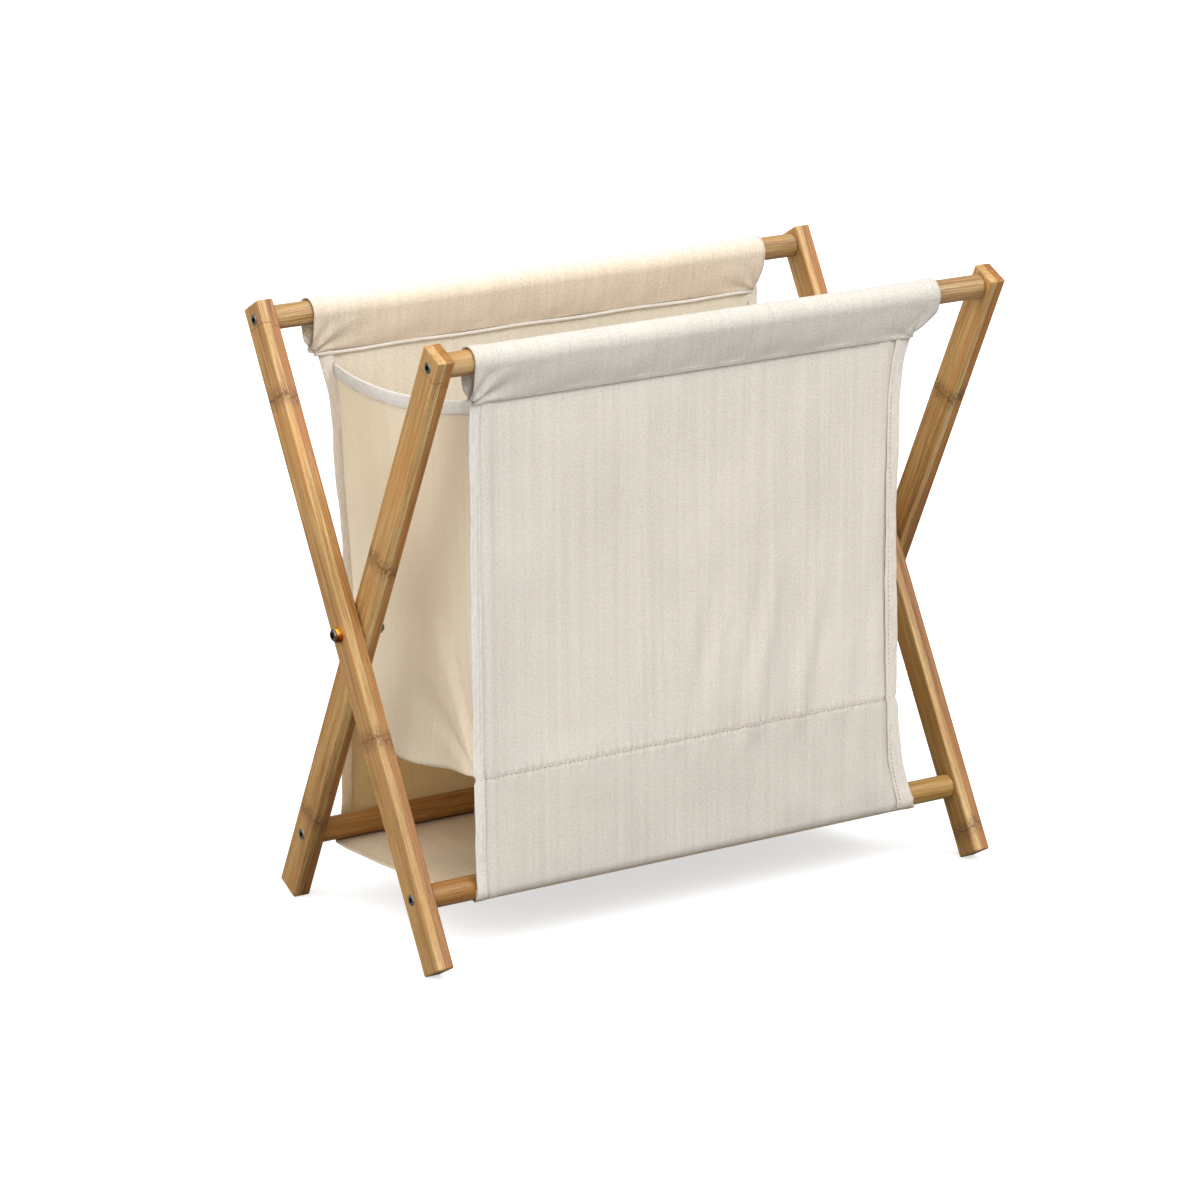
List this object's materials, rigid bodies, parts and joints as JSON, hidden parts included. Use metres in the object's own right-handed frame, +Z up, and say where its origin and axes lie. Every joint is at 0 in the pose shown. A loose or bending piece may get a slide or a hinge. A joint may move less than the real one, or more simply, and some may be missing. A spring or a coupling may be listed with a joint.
{
  "type": "folding pouch rack",
  "caption": "Folding X-frame rack of bamboo bars and round rails that holds one open-topped canvas pouch over a cloth sling.",
  "frame": {"origin": "bottom centre of the open rack's bounding box, on the floor midway between the four feet", "axes": "+X along the rails, +Y from the front panel to the back panel, +Z up"},
  "size_m": [0.5724, 0.2816, 0.5081],
  "materials": {
    "leg_bamboo": "laminated bamboo, clear satin lacquer",
    "rail_bamboo": "turned bamboo dowel, clear satin lacquer",
    "panel_canvas": "natural cotton canvas, plain weave",
    "hem_canvas": "natural cotton canvas, doubled",
    "binding_tape": "cotton binding tape",
    "zinc_steel": "zinc plated",
    "brass_collar": "satin",
    "nylon_spacer": "natural nylon"
  },
  "bodies": {
    "frame_a": {"left_inner_leg": "leg_bamboo", "right_outer_leg": "leg_bamboo", "front_top_rail": "rail_bamboo", "front_top_rail_left_screw": "zinc_steel", "front_top_rail_right_screw": "zinc_steel", "back_bottom_rail": "rail_bamboo", "back_bottom_rail_left_screw": "zinc_steel", "back_bottom_rail_right_screw": "zinc_steel", "right_pivot_bolt": "zinc_steel", "right_pivot_collar": "brass_collar", "right_pivot_spacer_washer": "nylon_spacer", "right_pivot_inner_washer": "zinc_steel", "right_pivot_cap_nut": "zinc_steel", "back_wrap": "hem_canvas", "sling_base": "hem_canvas"},
    "frame_b": {"left_outer_leg": "leg_bamboo", "right_inner_leg": "leg_bamboo", "back_top_rail": "rail_bamboo", "back_top_rail_left_screw": "zinc_steel", "back_top_rail_right_screw": "zinc_steel", "front_bottom_rail": "rail_bamboo", "front_bottom_rail_left_screw": "zinc_steel", "front_bottom_rail_right_screw": "zinc_steel", "left_pivot_bolt": "zinc_steel", "left_pivot_collar": "brass_collar", "left_pivot_spacer_washer": "nylon_spacer", "left_pivot_inner_washer": "zinc_steel", "left_pivot_cap_nut": "zinc_steel", "front_wrap": "hem_canvas"},
    "front_cloth": {"front_sleeve": "hem_canvas", "front_panel": "panel_canvas", "front_left_seam_tape": "binding_tape", "front_right_seam_tape": "binding_tape", "left_end_panel": "panel_canvas", "right_end_panel": "panel_canvas", "left_end_binding": "binding_tape", "right_end_binding": "binding_tape", "pouch_floor": "panel_canvas"},
    "back_cloth": {"back_sleeve": "hem_canvas", "back_panel": "panel_canvas", "back_left_seam_tape": "binding_tape", "back_right_seam_tape": "binding_tape"},
    "front_sling": {"front_drop": "hem_canvas"},
    "back_sling": {"back_drop": "hem_canvas"}
  },
  "joints": [
    {"name": "frame_fold", "type": "hinge", "parent": "frame_a", "child": "frame_b", "pos_m": [0, 0, 0.25539], "axis": [1, 0, 0], "range_deg": [0, 48], "deforming": ["left_end_panel", "right_end_panel", "left_end_binding", "right_end_binding", "pouch_floor", "front_drop", "back_drop", "sling_base"]},
    {"name": "front_cloth_swing", "type": "hinge", "parent": "frame_a", "child": "front_cloth", "pos_m": [0, -0.12283, 0.49133], "axis": [1, 0, 0], "range_deg": [0, 22.5]},
    {"name": "back_cloth_swing", "type": "hinge", "parent": "frame_b", "child": "back_cloth", "pos_m": [0, 0.12283, 0.49133], "axis": [1, 0, 0], "range_deg": [-22.5, 0]},
    {"name": "front_sling_slip", "type": "slide", "parent": "front_cloth", "child": "front_sling", "axis": [0, 0.0226, -0.9997], "range_m": [0, 0.056]},
    {"name": "back_sling_slip", "type": "slide", "parent": "back_cloth", "child": "back_sling", "axis": [0, -0.0226, -0.9997], "range_m": [0, 0.056]}
  ],
  "couplings": [
    {"joint": "front_cloth_swing", "follows": "frame_fold", "ratio": 0.446},
    {"joint": "back_cloth_swing", "follows": "frame_fold", "ratio": -0.446},
    {"joint": "front_sling_slip", "follows": "frame_fold", "m_per_rad": 0.06403},
    {"joint": "back_sling_slip", "follows": "frame_fold", "m_per_rad": 0.06403}
  ]
}
